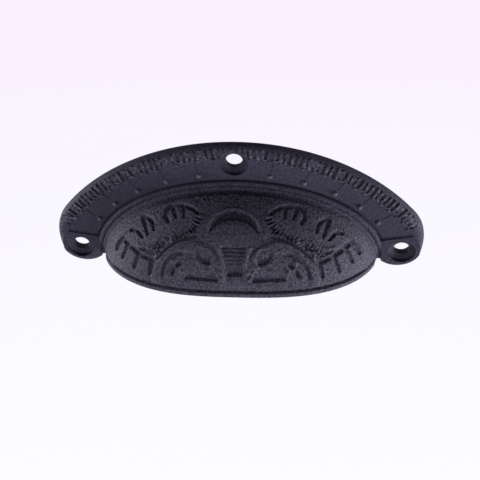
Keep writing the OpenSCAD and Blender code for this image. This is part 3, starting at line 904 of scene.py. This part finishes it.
def rubbed_flecks_and_bead_highlights(nodes, link, place, apart):
    """Where the coat is painted brighter: rubbed flecks along the tick border, and a painted highlight on
    the tops of the beads and dots.
    """
    flecks = noise(nodes, link, place, FLECK_SCALE, FLECK_DETAIL)
    from_top = reach(nodes, link, place, TOP_C, (1, 1))
    border = combine(nodes, link, "MULTIPLY", [
        ramp(nodes, link, from_top, (TOP_R - RUB_INNER[0]) * MM, (TOP_R - RUB_INNER[1]) * MM),
        ramp(nodes, link, from_top, (TOP_R - RUB_OUTER[0]) * MM, (TOP_R - RUB_OUTER[1]) * MM),
        ramp(nodes, link, flecks.outputs["Fac"], FLECK_LOW, FLECK_HIGH),
        ramp(nodes, link, apart.outputs["Z"], RUB_UP[0] * MM, RUB_UP[1] * MM)])
    from_lip = reach(nodes, link, place, (0, LIP_Z), (1 / (HOOD_HALF * MM), 1 / (HOOD_H * MM)))
    # Painted highlight: the raised tops of the beads and dots are made lighter in place of the lamps'
    # glint
    beads = combine(nodes, link, "MULTIPLY", [
        ramp(nodes, link, from_lip, *PAST_MOULDING),
        in_front(nodes, link, apart, *BEAD_HIGHLIGHT_TOPS),
        ramp(nodes, link, apart.outputs["Z"], BEAD_HIGHLIGHT_UP[0] * MM, BEAD_HIGHLIGHT_UP[1] * MM)])
    return combine(nodes, link, "MAXIMUM", [border, beads])


def black_coat():
    """Matte black coating over a sand-cast skin: sandy on the hood, smoother on the flange, with a painted
    highlight on the bead tops.
    """
    coat = bpy.data.materials.new("black_coat")
    coat.use_nodes = True
    nodes, link = coat.node_tree.nodes, coat.node_tree.links.new
    shader = nodes["Principled BSDF"]
    place = nodes.new("ShaderNodeTexCoord").outputs["Object"]
    sand = noise(nodes, link, place, SAND_SCALE, SAND_DETAIL)
    sand.inputs["Roughness"].default_value = SAND_COARSENESS
    patches = noise(nodes, link, place, PATCH_SCALE, PATCH_DETAIL)
    apart = nodes.new("ShaderNodeSeparateXYZ")
    link(place, apart.inputs["Vector"])
    # Strength of the grain: full on the hood, less on the flange
    grain = nodes.new("ShaderNodeMapRange")
    grain.inputs["From Min"].default_value = (-FLANGE_T - GRAIN_GROWS[0]) * MM
    grain.inputs["From Max"].default_value = (-FLANGE_T - GRAIN_GROWS[1]) * MM
    grain.inputs["To Min"].default_value = FLANGE_GRAIN
    link(apart.outputs["Y"], grain.inputs["Value"])
    specks = nodes.new("ShaderNodeMapRange")
    specks.inputs["From Min"].default_value = SAND_LOW
    specks.inputs["From Max"].default_value = SAND_HIGH
    link(sand.outputs["Fac"], specks.inputs["Value"])
    centred = nodes.new("ShaderNodeMath")
    centred.operation = "SUBTRACT"
    centred.inputs[1].default_value = 0.5
    link(specks.outputs["Result"], centred.inputs[0])
    contrast = nodes.new("ShaderNodeMath")
    contrast.operation = "MULTIPLY_ADD"
    contrast.inputs[2].default_value = 0.5
    link(centred.outputs["Value"], contrast.inputs[0])
    link(grain.outputs["Result"], contrast.inputs[1])
    # The hood's sand is paler and greyer than the flange's
    pale = colour_mix(nodes, FLANGE_SAND, HOOD_SAND)
    link(in_front(nodes, link, apart, *PALE_GROWS), pale.inputs["Factor"])
    colour = colour_mix(nodes, PIT_COLOUR)
    link(pale.outputs["Result"], colour.inputs["B"])
    link(contrast.outputs["Value"], colour.inputs["Factor"])
    # Rubbed flecks on the border, and the painted highlight on the bead tops
    rubbed_or_highlit = colour_mix(nodes, second=RUBBED_AND_HIGHLIGHT_COLOUR)
    link(colour.outputs["Result"], rubbed_or_highlit.inputs["A"])
    link(rubbed_flecks_and_bead_highlights(nodes, link, place, apart), rubbed_or_highlit.inputs["Factor"])
    link(rubbed_or_highlit.outputs["Result"], shader.inputs["Base Color"])
    rough = nodes.new("ShaderNodeMapRange")
    rough.inputs["To Min"].default_value = ROUGH_LOW
    rough.inputs["To Max"].default_value = ROUGH_HIGH
    link(patches.outputs["Fac"], rough.inputs["Value"])
    link(rough.outputs["Result"], shader.inputs["Roughness"])
    shader.inputs["Specular IOR Level"].default_value = SHEEN
    bump = nodes.new("ShaderNodeBump")
    bump.inputs["Distance"].default_value = SAND_BUMP * MM
    link(grain.outputs["Result"], bump.inputs["Strength"])
    link(sand.outputs["Fac"], bump.inputs["Height"])
    link(bump.outputs["Normal"], shader.inputs["Normal"])
    return coat


# Floor and surround: what rays see of them, and what little light they give
FLOOR_Z, FLOOR_HALF = -600, 3000
FLOOR_COLOUR, FLOOR_ROUGH = (0.1, 0.1, 0.1, 1), 0.9
FLOOR_NEAR, FLOOR_FAR = (0.91, 0.895, 0.945, 1), (0.92, 0.85, 0.965, 1)
FLOOR_TURNS = (500, 1050)
FLOOR_GLOW, FLOOR_LIGHT = 1.0, 0
SURROUND_COLOUR = (0.95, 0.93, 1.0, 1)
SURROUND_GLOW, SURROUND_LIGHT = 0.85, 0.005
# Soft boxes: place and watts
LAMP_SIDE, LAMP_TARGET = 350, (0, 0, 5)
LAMPS = {
    "left_box": ((-665, -210, -70), 2.0),
    "right_box": ((665, -210, -70), 1.7),
    "far_left_box": ((-693, 35, -70), 3.4),
    "far_right_box": ((693, 35, -70), 2.6),
    "low_right_box": ((490, -315, -385), 3.1),
    "front_box": ((0, -700, -35), 1.1),
}
# Camera fitted to the photograph: angles, distance and aim, with the focal length in pixels
CAMERA_TILT, CAMERA_TURN, CAMERA_ROLL = 45.4836, 6.6801, -3.79
CAMERA_DISTANCE, CAMERA_AIM = 269.8342, (0.0296, 0, 0.2597)
FOCAL_PIXELS, PHOTO_PIXELS, SENSOR = 974.2505, 480, 36.0
CLIP_NEAR, CLIP_FAR = 10, 20000


def seen_only(nodes, link, glow, light):
    """A strength that the eye, the sheen and clear openings see, while other rays get little light."""
    rays = nodes.new("ShaderNodeLightPath")
    seen = combine(nodes, link, "MAXIMUM", [
        rays.outputs["Is Camera Ray"], rays.outputs["Is Glossy Ray"], rays.outputs["Is Transmission Ray"]])
    level = nodes.new("ShaderNodeMapRange")
    level.inputs["To Min"].default_value = light
    level.inputs["To Max"].default_value = glow
    link(seen, level.inputs["Value"])
    return level.outputs["Result"]


def pale_floor():
    """A pale floor well below the pull; it shows almost white, and it keeps the pull's soft shadow."""
    corners = [(-1, -1), (1, -1), (1, 1), (-1, 1)]
    places = [(x * FLOOR_HALF * MM, y * FLOOR_HALF * MM, FLOOR_Z * MM) for x, y in corners]
    mesh = bpy.data.meshes.new("floor")
    mesh.from_pydata(places, [], [(0, 1, 2, 3)])
    floor = show("floor", mesh)
    paper = bpy.data.materials.new("pale_paper")
    paper.use_nodes = True
    nodes, link = paper.node_tree.nodes, paper.node_tree.links.new
    shader = nodes["Principled BSDF"]
    shader.inputs["Base Color"].default_value = FLOOR_COLOUR
    shader.inputs["Roughness"].default_value = FLOOR_ROUGH
    # A trace of lilac towards the back
    place = nodes.new("ShaderNodeTexCoord").outputs["Object"]
    apart = nodes.new("ShaderNodeSeparateXYZ")
    link(place, apart.inputs["Vector"])
    tint = colour_mix(nodes, FLOOR_NEAR, FLOOR_FAR)
    back = ramp(nodes, link, apart.outputs["Y"], FLOOR_TURNS[0] * MM, FLOOR_TURNS[1] * MM)
    link(back, tint.inputs["Factor"])
    link(tint.outputs["Result"], shader.inputs["Emission Color"])
    link(seen_only(nodes, link, FLOOR_GLOW, FLOOR_LIGHT), shader.inputs["Emission Strength"])
    mesh.materials.append(paper)


def soft_box(name, place, watts):
    """A soft square lamp turned to the pull."""
    lamp = bpy.data.lights.new(name, "AREA")
    lamp.shape, lamp.size, lamp.size_y = "RECTANGLE", LAMP_SIDE * MM, LAMP_SIDE * MM
    lamp.energy = watts
    box = show(name, lamp)
    at, to = Vector(place) * MM, Vector(LAMP_TARGET) * MM
    box.location = at
    box.rotation_mode = "QUATERNION"
    box.rotation_quaternion = (to - at).to_track_quat("-Z", "Y")


def studio():
    """Plain soft light from both sides, from the front and from low on the right, none from above."""
    scene = bpy.context.scene
    world = bpy.data.worlds.new("studio")
    scene.world = world
    world.use_nodes = True
    nodes, link = world.node_tree.nodes, world.node_tree.links.new
    nodes["Background"].inputs["Color"].default_value = SURROUND_COLOUR
    link(seen_only(nodes, link, SURROUND_GLOW, SURROUND_LIGHT), nodes["Background"].inputs["Strength"])
    for name, (place, watts) in LAMPS.items():
        soft_box(name, place, watts)
    scene.view_settings.view_transform = "Standard"


def photo_camera():
    """The camera at the photograph's angle, for a square picture."""
    tilt, turn, roll = math.radians(CAMERA_TILT), math.radians(CAMERA_TURN), math.radians(CAMERA_ROLL)
    back = Vector((math.sin(turn) * math.cos(tilt), -math.cos(turn) * math.cos(tilt), math.sin(tilt)))
    level = Vector((math.cos(turn), math.sin(turn), 0))
    upright = back.cross(level)
    right = math.cos(roll) * level + math.sin(roll) * upright
    up = -math.sin(roll) * level + math.cos(roll) * upright
    place = (Vector(CAMERA_AIM) + CAMERA_DISTANCE * back) * MM
    data = bpy.data.cameras.new("camera")
    data.sensor_width, data.lens = SENSOR, FOCAL_PIXELS / PHOTO_PIXELS * SENSOR
    data.clip_start, data.clip_end = CLIP_NEAR * MM, CLIP_FAR * MM
    camera = show("camera", data)
    camera.matrix_world = Matrix((
        (right.x, up.x, back.x, place.x),
        (right.y, up.y, back.y, place.y),
        (right.z, up.z, back.z, place.z),
        (0, 0, 0, 1)))
    bpy.context.scene.camera = camera


coat = black_coat()
casting = build_casting(coat)
casting.data.materials.clear()
casting.data.materials.append(coat)
casting.data.shade_smooth()
casting.data.set_sharp_from_angle(angle=math.radians(SHARP_ANGLE))
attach(casting, "root")
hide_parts("cup_pull")
pale_floor()
studio()
photo_camera()
